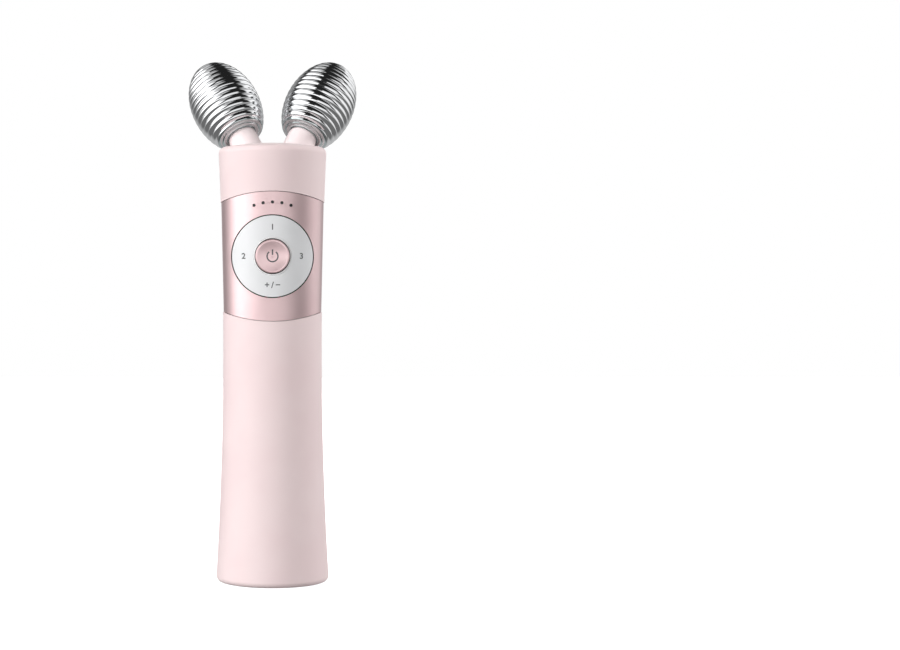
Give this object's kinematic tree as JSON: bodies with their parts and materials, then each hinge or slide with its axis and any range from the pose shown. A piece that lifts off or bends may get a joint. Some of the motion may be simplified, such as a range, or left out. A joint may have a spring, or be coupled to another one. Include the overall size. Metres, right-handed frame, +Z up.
{
  "type": "facial toning device",
  "caption": "Round flared pink handle with a rose-gold control band, a rocking ring key, a power button and ribbed chrome rollers that spin on splayed axles.",
  "frame": {"origin": "middle of the flat base, on the handle axis", "axes": "+Z up along the handle, the controls face -Y, +X to the right seen from the front"},
  "size_m": [0.063, 0.0501, 0.1925],
  "materials": {
    "soft_pink": "soft-touch matte",
    "rose_metal": "satin rose-gold anodised",
    "silver_key": "satin silver-white",
    "pink_key": "satin pink",
    "bright_rim": "bright",
    "dark_lens": "dark tinted",
    "mirror_chrome": "mirror plated",
    "white_plastic": "moulded",
    "grey_plastic": "moulded",
    "steel": "bright",
    "bronze": "sintered",
    "brass": "bright",
    "silicone": "matte",
    "board_green": "solder mask",
    "chip_black": "moulded",
    "cell_blue": "sleeved",
    "lamp_white": "clear",
    "lead_red": "insulated",
    "lead_white": "insulated",
    "transformer": "wound core"
  },
  "bodies": {
    "handle": {"handle_sleeve": "soft_pink", "head_cover": "soft_pink", "control_band": "rose_metal", "inner_tube": "white_plastic", "bottom_cap": "soft_pink", "cap_gasket": "silicone", "cap_screws": "steel", "charging_socket": "steel", "charge_board": "board_green", "charge_chip": "chip_black", "charge_board_screws": "steel", "battery_cradle": "white_plastic", "battery_cell": "cell_blue", "battery_leads": "lead_red", "main_board": "board_green", "controller_chip": "chip_black", "boost_transformer": "transformer", "key_switches": "chip_black", "indicator_lamps": "lamp_white", "light_guide": "dark_lens", "key_carrier": "grey_plastic", "board_screws": "steel", "roller_carrier": "white_plastic", "carrier_screws": "steel", "electrode_leads": "lead_white", "left_neck": "soft_pink", "left_axle": "steel", "left_contact_ferrule": "brass", "left_thrust_washer": "white_plastic", "left_axle_clip": "steel", "right_neck": "soft_pink", "right_axle": "steel", "right_contact_ferrule": "brass", "right_thrust_washer": "white_plastic", "right_axle_clip": "steel"},
    "left_roller": {"left_roller_shell": "mirror_chrome", "left_roller_core": "grey_plastic", "left_lower_bush": "bronze", "left_upper_bush": "bronze"},
    "right_roller": {"right_roller_shell": "mirror_chrome", "right_roller_core": "grey_plastic", "right_lower_bush": "bronze", "right_upper_bush": "bronze"},
    "key_frame": {"key_frame": "grey_plastic"},
    "control_ring": {"control_ring": "silver_key", "button_bezel": "bright_rim"},
    "power_button": {"power_button": "pink_key"}
  },
  "joints": [
    {"name": "left_roller_spin", "type": "hinge", "parent": "handle", "child": "left_roller", "pos_m": [-0.0174, 0.015, 0.1754], "axis": [-0.4091, 0.4695, 0.7825], "continuous": true},
    {"name": "right_roller_spin", "type": "hinge", "parent": "handle", "child": "right_roller", "pos_m": [0.0174, 0.015, 0.1754], "axis": [0.4091, 0.4695, 0.7825], "continuous": true},
    {"name": "ring_nod", "type": "hinge", "parent": "handle", "child": "key_frame", "pos_m": [0, -0.0115, 0.1192], "axis": [1, 0, 0], "range_deg": [-1.2, 1.2], "stiffness_Nm_per_rad": 1.2},
    {"name": "ring_sway", "type": "hinge", "parent": "key_frame", "child": "control_ring", "pos_m": [0, -0.0115, 0.1192], "axis": [0, 0, 1], "range_deg": [-1.2, 1.2], "stiffness_Nm_per_rad": 1.2},
    {"name": "power_button_press", "type": "slide", "parent": "handle", "child": "power_button", "axis": [0, 1, 0], "range_m": [0, 0.0004], "stiffness_N_per_m": 4000}
  ]
}
